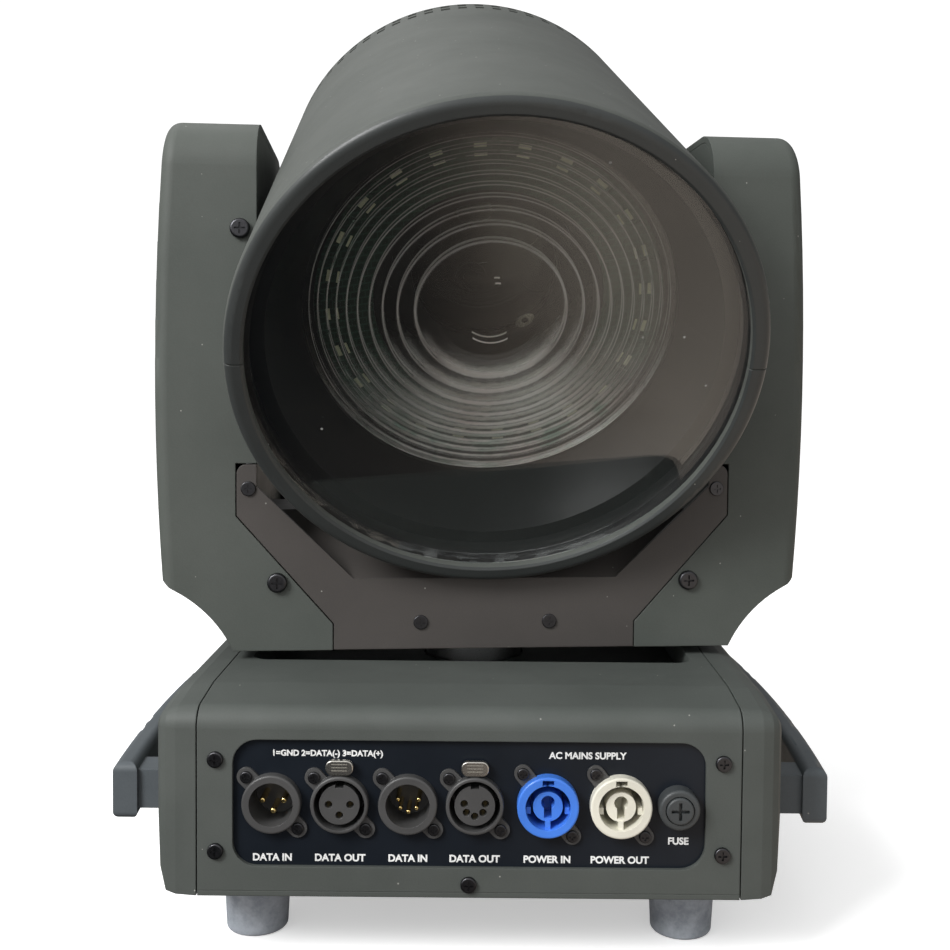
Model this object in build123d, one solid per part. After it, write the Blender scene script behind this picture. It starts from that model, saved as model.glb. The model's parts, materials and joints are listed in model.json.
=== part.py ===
from build123d import *
import math
import os

# Moving head light: a base with its connectors, a yoke that pans on the base, and a head that
# tilts in the yoke. Millimetres, +Z up. The connector side faces -Y. At rest the yoke is panned a
# little to the left and the head droops onto its lower stop. Everything is drawn about the pan
# axis, with Z = 0 where the feet stand, and moved by PAN_AXIS_Y when it is saved, so that the
# origin is the middle of the bottom of the bounding box.
PAN_AXIS_Y = 16.7

# ---- Rest pose ----
PAN_REST = 5.0
TILT_REST = 29.0

# ---- Base ----
BASE_X = 104.0
BASE_Y = 140.0
BASE_BOTTOM = 29.0
TRAY_TOP = 31.0
SHOULDER_Z = 101.0
ROOF_Z = 104.0
ROOF_Y = 110.0
SHEET = 2.0
END_CAP_DEPTH = 16.5
END_CAP_WALL = 3.5
END_CAP_GAP = 0.5
WELL_X = 96.5
WELL_Y = 72.0
WELL_FLOOR = 92.0
FOOT_X = 88.0
FOOT_Y = 101.0
FOOT_TOP_R = 14.0
FOOT_BOTTOM_R = 12.5
BRACKET_HOLE_X = 70.0
BRACKET_HOLE_Y = 53.0
BRACKET_HOLE_R = 6.0
WINDOW_X = 90.5
WINDOW_HALF_Z = 24.6
WINDOW_R = 9.5
CONNECTOR_Z = 65.1
PLATE_X = 94.5
PLATE_HALF_Z = 28.0
PLATE_T = 1.5
FACE_SCREWS = [(-97.0, 82.0), (97.0, 82.0), (-97.0, 46.5), (97.0, 46.5), (0.0, 34.2)]

# ---- Connectors, from left to right on the front ----
DATA_IN_3PIN_X = -75.5
DATA_OUT_3PIN_X = -49.5
DATA_IN_5PIN_X = -23.4
DATA_OUT_5PIN_X = 2.2
POWER_IN_X = 30.1
POWER_OUT_X = 58.0
FUSE_X = 80.0
DATA_EAR = 9.9
POWER_EAR_X = 9.5
POWER_EAR_Z = 12.0
DATA_RING_R = 11.3
DATA_BODY_R = 10.5
POWER_RING_R = 11.8
POWER_BODY_R = 11.0
PIN_CIRCLE_R = 4.1
PIN_R = 1.2
TAB_RISE = 14.3

# ---- Menu panel on the rear ----
LCD_X = 34.0
LCD_W = 62.0
LCD_H = 36.0
KEYPAD_X = -42.0
BUTTON_PITCH = 14.0
BUTTON_R = 4.4

# ---- Pan drive ----
BELT_PITCH = 3.0
PAN_TEETH = 110
MOTOR_TEETH = 20
PAN_R = PAN_TEETH * BELT_PITCH / (2 * math.pi)
MOTOR_R = MOTOR_TEETH * BELT_PITCH / (2 * math.pi)
PAN_MOTOR_X = 71.0
BELT_T = 1.6
BELT_GAP = 0.2
TOOTH_DEPTH = 1.1
PAN_TUBE_R = 22.0
PAN_HUB_R = 23.5
PULLEY_BOTTOM = 111.2

# ---- Yoke ----
YOKE_BOTTOM = 108.0
YOKE_TOP = 339.0
YOKE_Y = 65.0
ARM_INNER_X = 100.0
WALL = 3.0
TOP_CORNER_R = 21.0
ARM_EDGE_R = 6.0
PIVOT_Z = 301.0
PANEL_T = 1.8
PANEL_GAP = 0.5
TENT_Z = 165.0
TENT_Y = 22.0
PANEL_TOP = 139.5
PANEL_SADDLE_X = 58.0
HORN_TOP = 189.5
FRAME_Z = 124.0
UPRIGHT_X = 103.0
TRUNNION_R = 12.0
BEARING_R = 17.0
ARM_SCREWS = [(107.0, 291.0), (91.0, 138.0)]
PANEL_SCREWS = [(103.5, 179.0), (28.5, 120.0)]

# ---- Tilt drive ----
TILT_TEETH = 60
TILT_R = TILT_TEETH * BELT_PITCH / (2 * math.pi)
TILT_CENTRES = 85.0
TILT_PULLEY_X = -112.0
TILT_PULLEY_HALF = 4.0

# ---- Head, in its own frame: the light leaves along -Y and the tilt axis is X ----
HEAD_FRONT = -142.0
HEAD_FRONT_R = 107.3
HEAD_BACK = 53.0
HEAD_BACK_R = 94.0
HEAD_REAR = 62.0
HEAD_REAR_R = 84.0
LIP_R = 99.3
FLAT_X = 97.5
CAP_BACK = 94.0
CAP_SCREW_R = 62.0
SPLIT_GAP = 0.2
GLASS_R = 100.0
LENS_R = 79.3
LENS_FRONT = -93.0
LENS_BACK = -88.9
LENS_ZONES = 11
ZONE_R = 23.2
GROOVE = 1.2
ROD_X = 62.0
GOBO_Z = -36.0
LED_COUNT = 24
LED_CIRCLE_R = 70.0

YOKE = Rot(0, 0, PAN_REST)
HEAD = Rot(0, 0, PAN_REST) * Pos(0, 0, PIVOT_Z) * Rot(TILT_REST, 0, 0)
CLEAR = 0.05
BIG = 400.0


# ---- Shape helpers ----
def box(x0, x1, y0, y1, z0, z1):
    return Pos((x0 + x1) / 2, (y0 + y1) / 2, (z0 + z1) / 2) * Box(x1 - x0, y1 - y0, z1 - z0)


def cyl_x(x0, x1, y, z, r):
    return Pos((x0 + x1) / 2, y, z) * Rot(0, 90, 0) * Cylinder(r, x1 - x0)


def cyl_y(x, y0, y1, z, r):
    return Pos(x, (y0 + y1) / 2, z) * Rot(90, 0, 0) * Cylinder(r, y1 - y0)


def cyl_z(x, y, z0, z1, r):
    return Pos(x, y, (z0 + z1) / 2) * Cylinder(r, z1 - z0)


def tube_y(x, y0, y1, z, outer, inner):
    return cyl_y(x, y0, y1, z, outer) - cyl_y(x, y0 - 1, y1 + 1, z, inner)


def tube_x(x0, x1, y, z, outer, inner):
    return cyl_x(x0, x1, y, z, outer) - cyl_x(x0 - 1, x1 + 1, y, z, inner)


def rounded_face(points, radii):
    return make_face(FilletPolyline(*points, radius=radii, close=True))


def polygon(points):
    return make_face(Polyline(*points, close=True))


def prism_x(face, x0, x1):
    """Extrude a face drawn in (Y, Z) from x0 to x1."""
    return extrude(Plane.YZ.offset(x0) * face, x1 - x0)


def prism_y(face, y0, y1):
    """Extrude a face drawn in (X, Z) from y0 to y1."""
    return extrude(Plane.XZ.offset(-y1) * face, y1 - y0)


def prism_z(face, z0, z1):
    return extrude(Plane.XY.offset(z0) * face, z1 - z0)


def plate_y(x, z, width, height, r, y0, y1):
    """A plate with rounded corners that faces along Y."""
    return prism_y(Pos(x, z) * RectangleRounded(width, height, r), y0, y1)


def turned_y(points):
    """Turn an outline of (radius, y) points about the Y axis."""
    return revolve(polygon(points), axis=Axis.Y)


def join(pieces):
    result = pieces[0]
    for piece in pieces[1:]:
        result = result + piece
    return result


def both_sides(piece):
    return [piece, mirror(piece, Plane.YZ)]


def save(name, shape, place=None):
    solids = shape if isinstance(shape, list) else [shape]
    if place is not None:
        solids = [place * solid for solid in solids]
    solids = [Pos(0, PAN_AXIS_Y, 0) * solid for solid in solids]
    result = solids[0] if len(solids) == 1 else Compound(children=[Compound(s.solids()) for s in solids])
    export_step(result, os.path.join("parts", name + ".step"))


def screw_y(x, y, z, head_r, head_h, shank_r, length, side):
    """A cross-head screw; its head stands out of the face at y, on the side -1 or 1."""
    head = cyl_y(x, min(y, y + side * head_h), max(y, y + side * head_h), z, head_r)
    rim = head.edges().filter_by(GeomType.CIRCLE).sort_by(Axis.Y)
    head = fillet(rim[-1] if side > 0 else rim[0], head_h * 0.45)
    top = y + side * head_h
    slot = head_r * 0.55
    deep = head_h * 0.6
    y0, y1 = sorted((top - side * deep, top + side))
    cross = box(x - slot, x + slot, y0, y1, z - 0.4, z + 0.4)
    cross = cross + box(x - 0.4, x + 0.4, y0, y1, z - slot, z + slot)
    shank_0, shank_1 = sorted((y, y - side * length))
    return head - cross + cyl_y(x, shank_0, shank_1, z, shank_r)


def toothed_wheel(teeth, z0, z1, bore):
    """A belt pulley along Z with square teeth, at the origin."""
    tip = teeth * BELT_PITCH / (2 * math.pi)
    root = tip - TOOTH_DEPTH
    points = []
    for tooth in range(teeth):
        start = 2 * math.pi * tooth / teeth
        width = math.pi / teeth
        for radius, turn in ((root, 0.0), (tip, 0.15), (tip, 0.85), (root, 1.0)):
            angle = start + width * turn
            points.append((radius * math.cos(angle), radius * math.sin(angle)))
    wheel = prism_z(polygon(points), z0, z1)
    return wheel - cyl_z(0, 0, z0 - 1, z1 + 1, bore)


def belt_loop(r1, r2, distance):
    """The outline of a belt round a pulley at the origin and a smaller one at (distance, 0)."""
    lean = math.acos((r1 - r2) / distance)
    c, s = math.cos(lean), math.sin(lean)
    upper_1, upper_2 = (r1 * c, r1 * s), (distance + r2 * c, r2 * s)
    lower_1, lower_2 = (r1 * c, -r1 * s), (distance + r2 * c, -r2 * s)
    edges = [
        Line(upper_1, upper_2),
        ThreePointArc(upper_2, (distance + r2, 0), lower_2),
        Line(lower_2, lower_1),
        ThreePointArc(lower_1, (-r1, 0), upper_1),
    ]
    return make_face(Wire(edges))


def belt(r1, r2, distance, z0, z1):
    outside = belt_loop(r1 + BELT_GAP + BELT_T, r2 + BELT_GAP + BELT_T, distance)
    inside = belt_loop(r1 + BELT_GAP, r2 + BELT_GAP, distance)
    return prism_z(outside - inside, z0, z1)


# ---- Base casing ----
def base_outline(inset, bottom):
    """The base's section in (Y, Z): upright faces, then shoulders that slope up to a flat roof."""
    y = BASE_Y - inset
    roof_y = ROOF_Y - inset * 0.2
    points = [(-y, bottom), (-y, SHOULDER_Z - inset * 0.85), (-roof_y, ROOF_Z - inset)]
    points += [(-a, b) for a, b in reversed(points)]
    r = 8.0 - inset * 0.8
    return rounded_face(points, [0, r, 25.0, 25.0, r, 0])


def rounded_block(x, y, z0, z1):
    """A block about the pan axis with upright edges of radius 8."""
    return Pos(0, 0, z0) * extrude(RectangleRounded(2 * x, 2 * y, 8.0), z1 - z0)


def base_top_cover():
    """The top cover, with a well in its roof that the yoke turns over."""
    cover = prism_x(base_outline(0, TRAY_TOP), -BASE_X, BASE_X)
    cover = cover - prism_x(base_outline(SHEET, TRAY_TOP - 1), -BASE_X - 1, BASE_X + 1)
    cover = cover + rounded_block(WELL_X + SHEET, WELL_Y + SHEET, WELL_FLOOR - SHEET, ROOF_Z - 1)
    cover = cover - rounded_block(WELL_X, WELL_Y, WELL_FLOOR, BIG)
    cover = cover - plate_y(0, CONNECTOR_Z, 2 * WINDOW_X, 2 * WINDOW_HALF_Z, WINDOW_R, -BIG, BIG)
    cover = cover - cyl_z(0, 0, 0, BIG, PAN_HUB_R + 1.0)
    for x, z in FACE_SCREWS:
        cover = cover - cyl_y(x, -BIG, BIG, z, 1.6)
    return cover


def base_tray():
    tray = box(-BASE_X, BASE_X, -BASE_Y, BASE_Y, BASE_BOTTOM, TRAY_TOP)
    for side in both_sides(box(BASE_X - SHEET, BASE_X, -130, 130, TRAY_TOP, 70)):
        tray = tray + side
    for x in (-BRACKET_HOLE_X, BRACKET_HOLE_X):
        for y in (-BRACKET_HOLE_Y, BRACKET_HOLE_Y):
            tray = tray - cyl_z(x, y, BASE_BOTTOM - 1, TRAY_TOP + 1, BRACKET_HOLE_R)
    for x in range(-40, 41, 10):
        for y in (-118, 118):
            tray = tray - Pos(x, y, 30) * extrude(SlotOverall(26, 3.4, rotation=90), 4, both=True)
    return tray


def end_cap_block():
    """The +X end cap's outside: it rounds over at its outer edge and leans in towards the bottom."""
    stations = [(END_CAP_GAP, 0.0, 0.0), (8.5, 0.7, 0.3), (12.6, 2.0, 1.2), (15.2, 4.0, 10.0)]
    stations += [(END_CAP_DEPTH, 6.5, 30.0)]
    faces = []
    for depth, inset, rise in stations:
        faces.append(Plane.YZ.offset(BASE_X + depth) * base_outline(inset, BASE_BOTTOM + rise))
    return loft(faces, ruled=True)


def end_cap():
    inner = [Plane.YZ.offset(BASE_X + depth) * base_outline(inset, BASE_BOTTOM + END_CAP_WALL)
             for depth, inset in ((-1.0, END_CAP_WALL), (11.0, END_CAP_WALL + 2.5))]
    return end_cap_block() - loft(inner, ruled=True)


def handle():
    """A carrying handle on the +X end, bowed a little in plan, on two webs."""
    outer = ThreePointArc((145.5, -110), (150.5, 0), (145.5, 110))
    inner = ThreePointArc((135.5, 110), (140.5, 0), (135.5, -110))
    ends = [Line((145.5, 110), (135.5, 110)), Line((135.5, -110), (145.5, -110))]
    bar = prism_z(make_face(Wire([outer, ends[0], inner, ends[1]])), 47, 70)
    bar = fillet(bar.edges().filter_by(Axis.Z, reverse=True).group_by(Axis.Z)[-1], 3.5)
    bar = fillet(bar.edges().group_by(Axis.Z)[0], 3.0)
    for y in (-100, 100):
        bar = bar + box(BASE_X + 12.0, 141, y - 8, y + 8, 51, 67)
    return bar - end_cap_block()


def rubber_foot(x, y):
    foot = Pos(x, y, BASE_BOTTOM / 2) * Cone(FOOT_BOTTOM_R, FOOT_TOP_R, BASE_BOTTOM)
    foot = fillet(foot.edges().group_by(Axis.Z)[0], 1.5)
    return foot - cyl_z(x, y, -1, 14, 5.0)


# ---- Front connectors ----
def ear(x, z, dx, dz, r, y0, y1):
    """A screw ear that reaches from a connector's centre to (dx, dz)."""
    reach = math.hypot(dx, dz)
    turn = -math.degrees(math.atan2(dz, dx))
    arm = Pos(x + dx / 2, (y0 + y1) / 2, z + dz / 2) * Rot(0, turn, 0) * Box(reach, y1 - y0, 2 * r)
    return arm + cyl_y(x + dx, y0, y1, z + dz, r)


def flange(x, dx, dz, ring_r, ear_r, front, body_r, back):
    """A round panel connector with a screw ear up to the left and one down to the right."""
    z = CONNECTOR_Z
    shell = cyl_y(x, front, -138, z, ring_r)
    shell = fillet(shell.edges().filter_by(GeomType.CIRCLE).sort_by(Axis.Y)[0], 0.8)
    shell = shell + cyl_y(x, -138, back, z, body_r)
    for sign in (-1, 1):
        shell = shell + ear(x, z, sign * dx, -sign * dz, ear_r, -139.2, -138)
    for sign in (-1, 1):
        shell = shell - cyl_y(x + sign * dx, -141, -137, z - sign * dz, 1.3)
    return shell


def data_inlet(x):
    shell = flange(x, DATA_EAR, DATA_EAR, DATA_RING_R, 3.6, -142, DATA_BODY_R, -118)
    shell = shell - cyl_y(x, -143, -126, CONNECTOR_Z, 8.4)
    return shell + box(x - 1.2, x + 1.2, -139, -126, CONNECTOR_Z + 7.4, CONNECTOR_Z + 9)


def socket_holes(x, count):
    return [(x - dx, dz) for dx, dz in pin_places(count)]


def data_outlet(x, count):
    z = CONNECTOR_Z
    shell = flange(x, DATA_EAR, DATA_EAR, DATA_RING_R - 0.2, 3.6, -142, DATA_BODY_R, -118)
    shell = shell - cyl_y(x, -143, -124, z, 9.7)
    insert = cyl_y(x, -140.8, -124, z, 7.75)
    for hole_x, hole_z in socket_holes(x, count):
        insert = insert - cyl_y(hole_x, -142, -131, z + hole_z, 1.45)
    insert = insert - box(x - 1.6, x + 1.6, -142, -128, z + 6.4, z + 9)
    return shell + insert


def pin_places(count):
    """Where the contacts lie on a connector's face, as (x, z) from its centre."""
    angles = {3: (0, 180, 270), 5: (10, 170, 220, 270, 320)}[count]
    return [(PIN_CIRCLE_R * math.cos(math.radians(a)), PIN_CIRCLE_R * math.sin(math.radians(a)))
            for a in angles]


def connector_contacts():
    contacts = []
    for x, count in ((DATA_IN_3PIN_X, 3), (DATA_IN_5PIN_X, 5)):
        r = PIN_R if count == 3 else PIN_R - 0.3
        for dx, dz in pin_places(count):
            pin = cyl_y(x + dx, -137, -126, CONNECTOR_Z + dz, r)
            contacts.append(fillet(pin.edges().filter_by(GeomType.CIRCLE).sort_by(Axis.Y)[0], r * 0.7))
    for x, count in ((DATA_OUT_3PIN_X, 3), (DATA_OUT_5PIN_X, 5)):
        for hole_x, hole_z in socket_holes(x, count):
            contacts.append(cyl_y(hole_x, -133, -131, CONNECTOR_Z + hole_z, 1.2))
    return contacts


def power_connector(x):
    z = CONNECTOR_Z
    shell = flange(x, POWER_EAR_X, POWER_EAR_Z, POWER_RING_R, 3.4, -143, POWER_BODY_R, -112)
    shell = shell - cyl_y(x, -144, -122, z, 8.6)
    core = cyl_y(x, -141, -122, z, 5.7)
    core = core - box(x - 1.5, x + 1.5, -142, -130, z - 4.4, z + 2.2)
    core = core - cyl_y(x, -142, -130, z + 1.6, 2.6)
    shell = shell + core
    shell = shell - box(x - 2.2, x + 2.2, -144, -133, z + 8.6, z + 10.6)
    for side in (-1, 1):
        shell = shell + box(x + side * 7.4 - 0.9, x + side * 7.4 + 0.9, -140, -122, z - 3.2, z - 0.6)
    return shell + box(x - 1.0, x + 1.0, -141.5, -122, z - 9.6, z - 5.2)


def release_tab(x):
    """The sprung latch tab above a data outlet."""
    z = CONNECTOR_Z + TAB_RISE
    tab = plate_y(x, z, 10.6, 5.8, 2.6, -141.6, -139.6)
    tab = fillet(tab.faces().sort_by(Axis.Y)[0].edges(), 0.5)
    tab = tab + box(x - 3.2, x + 3.2, -139.6, -133.4, z - 2.0, z + 2.0)
    for offset in (-1.2, 0.0, 1.2):
        tab = tab + box(x - 3.0, x + 3.0, -141.9, -141.5, z + offset - 0.25, z + offset + 0.25)
    return tab


def fuse_holder():
    z = CONNECTOR_Z
    holder = cyl_y(FUSE_X, -144.5, -138, z, 7.8)
    holder = fillet(holder.edges().filter_by(GeomType.CIRCLE).sort_by(Axis.Y)[0], 1.2)
    holder = holder + cyl_y(FUSE_X, -138, -114, z, 7.0)
    return holder - cyl_y(FUSE_X, -146, -124, z, 5.5)


def fuse_cap():
    z = CONNECTOR_Z
    cap = cyl_y(FUSE_X, -145.6, -126, z, 5.2)
    cap = fillet(cap.edges().filter_by(GeomType.CIRCLE).sort_by(Axis.Y)[0], 0.8)
    cap = cap - box(FUSE_X - 3.4, FUSE_X + 3.4, -147, -143.6, z - 0.6, z + 0.6)
    return cap - box(FUSE_X - 0.6, FUSE_X + 0.6, -147, -143.6, z - 3.4, z + 3.4)


def connector_plate():
    low, high = CONNECTOR_Z - PLATE_HALF_Z, CONNECTOR_Z + PLATE_HALF_Z
    plate = box(-PLATE_X, PLATE_X, -138, -138 + PLATE_T, low, high)
    for x in (DATA_IN_3PIN_X, DATA_OUT_3PIN_X, DATA_IN_5PIN_X, DATA_OUT_5PIN_X):
        plate = plate - cyl_y(x, -140, -130, CONNECTOR_Z, DATA_BODY_R + 0.2)
    for x in (POWER_IN_X, POWER_OUT_X):
        plate = plate - cyl_y(x, -140, -130, CONNECTOR_Z, POWER_BODY_R + 0.2)
    plate = plate - cyl_y(FUSE_X, -140, -130, CONNECTOR_Z, 7.2)
    for x in (DATA_OUT_3PIN_X, DATA_OUT_5PIN_X):
        z = CONNECTOR_Z + TAB_RISE
        plate = plate - box(x - 3.5, x + 3.5, -140, -130, z - 2.3, z + 2.3)
    for x, z in connector_screw_places():
        plate = plate - cyl_y(x, -140, -130, z, 1.3)
    return plate


def connector_screw_places():
    places = []
    for x in (DATA_IN_3PIN_X, DATA_OUT_3PIN_X, DATA_IN_5PIN_X, DATA_OUT_5PIN_X):
        places += [(x - DATA_EAR, CONNECTOR_Z + DATA_EAR), (x + DATA_EAR, CONNECTOR_Z - DATA_EAR)]
    for x in (POWER_IN_X, POWER_OUT_X):
        places += [(x - POWER_EAR_X, CONNECTOR_Z + POWER_EAR_Z), (x + POWER_EAR_X, CONNECTOR_Z - POWER_EAR_Z)]
    return places


def connector_screws():
    return [screw_y(x, -139.2, z, 2.3, 1.1, 1.2, 4.5, -1) for x, z in connector_screw_places()]


def base_screws():
    screws = []
    for side in (-1, 1):
        for x, z in FACE_SCREWS:
            screws.append(screw_y(x, side * BASE_Y, z, 3.1, 1.5, 1.5, 7.0, side))
    return screws


# ---- Rear menu panel ----
def button_places():
    return [(KEYPAD_X, BUTTON_PITCH), (KEYPAD_X - BUTTON_PITCH, 0), (KEYPAD_X, -BUTTON_PITCH),
            (KEYPAD_X + BUTTON_PITCH, 0)]


def display_bezel():
    z = CONNECTOR_Z
    panel = box(-PLATE_X, PLATE_X, 138 - PLATE_T, 138, z - PLATE_HALF_Z, z + PLATE_HALF_Z)
    panel = panel - plate_y(LCD_X, z, LCD_W, LCD_H, 1.5, 130, 140)
    for x, dz in button_places():
        panel = panel - cyl_y(x, 130, 140, z + dz, BUTTON_R + 0.3)
    return panel


def display_window():
    glass = plate_y(LCD_X, CONNECTOR_Z, LCD_W - 0.2, LCD_H - 0.2, 1.4, 136.3, 137.8)
    return glass + box(LCD_X - 36, LCD_X + 36, 132.5, 136.4, CONNECTOR_Z - 22, CONNECTOR_Z + 22)


def menu_button(x, dz):
    z = CONNECTOR_Z + dz
    button = cyl_y(x, 133, 141, z, BUTTON_R)
    button = fillet(button.edges().filter_by(GeomType.CIRCLE).sort_by(Axis.Y)[-1], 1.0)
    return button + cyl_y(x, 133.6, 136.2, z, BUTTON_R + 0.9)


# ---- Electronics in the base ----
def power_supply():
    case = box(-75, 75, 20, 100, TRAY_TOP, 76)
    case = fillet(case.edges().filter_by(Axis.Z), 2)
    for row in range(12):
        x = -60 + row * 10
        case = case - box(x, x + 5, 35, 85, 74.5, 77)
    return case


def main_board():
    board = box(-80, 80, -100, -40, 36, 37.6)
    for x in (-74, 74):
        for y in (-94, -46):
            board = board + cyl_z(x, y, TRAY_TOP, 36, 3)
    chips = ((-50, -70, 18, 18, 2), (-10, -60, 24, 14, 3), (40, -72, 16, 30, 12), (64, -60, 10, 20, 9))
    for x, y, w, d, h in chips:
        board = board + box(x - w / 2, x + w / 2, y - d / 2, y + d / 2, 37.6, 37.6 + h)
    return board


# ---- Pan drive ----
def pan_pulley():
    """The fixed pulley that the yoke drives itself round, on a hub that stands in the roof's well."""
    seat = WELL_FLOOR - SHEET
    pulley = toothed_wheel(PAN_TEETH, PULLEY_BOTTOM, 121, 15.0)
    pulley = pulley + cyl_z(0, 0, seat - 3, seat, 60) + cyl_z(0, 0, seat - 1, PULLEY_BOTTOM + 1, PAN_HUB_R)
    pulley = pulley + cyl_z(0, 0, 120, 140, PAN_TUBE_R)
    return pulley - cyl_z(0, 0, seat - 4, 150, 15)


def motor(size, height, shaft_length, boss_r):
    """A square stepper motor whose shaft points down from the origin."""
    body = Pos(0, 0, height / 2) * Box(size, size, height)
    body = chamfer(body.edges().filter_by(Axis.Z), 4)
    waist = Pos(0, 0, height / 2) * (Box(size + 2, size + 2, height * 0.5) - Box(size - 2, size - 2, height))
    body = body - waist
    return body + cyl_z(0, 0, -2, 0, boss_r) + cyl_z(0, 0, -shaft_length, 0, 2.5)


def pan_motor():
    return Pos(PAN_MOTOR_X, 0, FRAME_Z + WALL) * motor(42, 35, 15.5, 11)


def motor_pulley(z0, z1):
    return toothed_wheel(MOTOR_TEETH, z0, z1, 2.5 + CLEAR)


# ---- Yoke casing ----
def arm_side(inset):
    """The arm's outline seen from the side, in (Y, Z), with rounded top corners."""
    y = YOKE_Y - inset
    r = TOP_CORNER_R - inset
    points = [(-y, 90), (-y, YOKE_TOP - inset), (y, YOKE_TOP - inset), (y, 90)]
    return rounded_face(points, [0, r, r, 0])


def arm_face(outline):
    """An arm's outline seen from the front: corners, then the bowed outside and the scoop below."""
    start, corners, bow, knee, toe, scoop, end = outline
    path = [start] + corners
    edges = [Line(a, b) for a, b in zip(path[:-1], path[1:])]
    edges.append(ThreePointArc(path[-1], bow, knee))
    edges.append(Line(knee, toe))
    edges.append(ThreePointArc(toe, scoop, end))
    edges.append(Line(end, start))
    return make_face(Wire(edges))


def arm_shell():
    """The +X arm casing, open on its inner side and where the front and rear panels fit."""
    outside = arm_face((
        (67, YOKE_BOTTOM),
        [(67, 119.5), (109, 167), (109, 190), (ARM_INNER_X, 190), (ARM_INNER_X, 350), (138.4, 350)],
        (144, 235), (141, 139), (137.5, 135.8), (121, 124), (110, YOKE_BOTTOM)))
    inside = arm_face((
        (50, 111),
        [(50, 350), (135.2, 350)],
        (141, 235), (138, 141), (135.6, 138.3), (119, 126.2), (107, 111)))
    shell = prism_y(outside, -YOKE_Y, YOKE_Y) & prism_x(arm_side(0), 60, 160)
    bow = shell.faces().sort_by(Axis.X)[-1]
    shell = fillet(bow.edges().filter_by(lambda edge: edge.center().Z > 150), ARM_EDGE_R)
    cavity = prism_y(inside, -YOKE_Y + WALL, YOKE_Y - WALL) & prism_x(arm_side(WALL), 40, 160)
    shell = shell - cavity
    for x, z in ARM_SCREWS:
        shell = shell - cyl_y(x, -BIG, BIG, z, 2.1)
    return shell


def arm_inner_cover():
    y = YOKE_Y - WALL - 0.2
    r = TOP_CORNER_R - WALL - 0.2
    top = YOKE_TOP - WALL - 0.2
    outline = rounded_face([(-y, 139.8), (-y, top), (y, top), (y, 139.8)], [2, r, r, 2])
    cover = prism_x(outline, ARM_INNER_X, ARM_INNER_X + 2)
    return cover - cyl_x(ARM_INNER_X - 1, ARM_INNER_X + 3, 0, PIVOT_Z, TRUNNION_R + 2)


def yoke_panel():
    """The front panel with its sloped top, which roofs the belts under the head."""
    x0 = 67 - PANEL_GAP
    x1 = 109 - PANEL_GAP
    half = [(x0, YOKE_BOTTOM + 0.2), (x0, 119.7), (x1, 167.2), (x1, HORN_TOP), (ARM_INNER_X, HORN_TOP),
            (ARM_INNER_X, 180), (PANEL_SADDLE_X, PANEL_TOP)]
    points = half + [(-x, z) for x, z in reversed(half)]
    face = polygon(points)
    horns = face.vertices().filter_by(lambda corner: abs(corner.X) > 105 and corner.Y > 180)
    face = fillet(horns, 4)
    panel = prism_y(face, -YOKE_Y, -YOKE_Y + PANEL_T)
    tent = polygon([(-YOKE_Y + 0.5, PANEL_TOP - 2.3), (-YOKE_Y + 0.5, PANEL_TOP - 0.2), (-TENT_Y, TENT_Z),
                    (-0.1, TENT_Z), (-0.1, TENT_Z - PANEL_T), (-TENT_Y + 0.5, TENT_Z - PANEL_T)])
    edge = ARM_INNER_X - 0.2
    tent = prism_x(tent, -edge, edge)
    for side in both_sides(box(80, edge + 1, -YOKE_Y - 1, -YOKE_Y + WALL + 0.2, 130, 150)):
        tent = tent - side
    panel = panel + tent
    panel = panel + box(-x0, x0, -YOKE_Y, -56.5, YOKE_BOTTOM + 0.2, YOKE_BOTTOM + 2)
    for x, z in PANEL_SCREWS:
        for side in (-x, x):
            panel = panel - cyl_y(side, -BIG, 0, z, 1.6)
    return panel


def yoke_frame():
    frame = box(-106, 106, -55, 55, FRAME_Z, FRAME_Z + WALL)
    frame = frame - cyl_z(0, 0, 100, 150, 30.1) - cyl_z(PAN_MOTOR_X, 0, 100, 150, 11.1)
    for upright in both_sides(box(UPRIGHT_X, UPRIGHT_X + 3, -50, 50, FRAME_Z + WALL, 330)):
        frame = frame + upright
    frame = frame - cyl_x(-BIG, BIG, 0, PIVOT_Z, BEARING_R + 0.1)
    for z in (175, 245):
        frame = frame - cyl_x(-BIG, BIG, 0, z, 12 if z > 200 else 16)
    frame = frame - cyl_x(-BIG, 0, 0, PIVOT_Z - TILT_CENTRES, 11.1)
    return frame


def yoke_bearings():
    pan = cyl_z(0, 0, 122, 130, 30) - cyl_z(0, 0, 100, 150, PAN_TUBE_R + CLEAR)
    tilt = tube_x(102.5, 107.5, 0, PIVOT_Z, BEARING_R, TRUNNION_R + CLEAR)
    return [pan] + both_sides(tilt)


def tilt_motor():
    z = PIVOT_Z - TILT_CENTRES
    place = Pos(-118, 0, z) * Rot(0, -90, 0)
    body = place * motor(42, 20, 10, 11)
    for y in (-18.5, 18.5):
        for dz in (-15.5, 15.5):
            body = body + cyl_x(-118, -106, y, z + dz, 2)
    return body


def tilt_pulley():
    wheel = toothed_wheel(TILT_TEETH, -TILT_PULLEY_HALF, TILT_PULLEY_HALF, TRUNNION_R + CLEAR)
    return Rot(-TILT_REST, 0, 0) * Pos(TILT_PULLEY_X, 0, 0) * Rot(0, 90, 0) * wheel


def tilt_belt():
    loop = belt(TILT_R, MOTOR_R, TILT_CENTRES, -TILT_PULLEY_HALF + 0.5, TILT_PULLEY_HALF - 0.5)
    return Pos(TILT_PULLEY_X, 0, PIVOT_Z) * Rot(0, 90, 0) * loop


def yoke_screws():
    screws = []
    for side in (-1, 1):
        for x, z in ARM_SCREWS:
            for sign in (-1, 1):
                screws.append(screw_y(sign * x, side * YOKE_Y, z, 4.3, 2.4, 2.0, WALL, side))
        for x, z in PANEL_SCREWS:
            for sign in (-1, 1):
                screws.append(screw_y(sign * x, side * YOKE_Y, z, 3.2, 0.9, 1.5, 5.0, side))
    return screws


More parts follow.
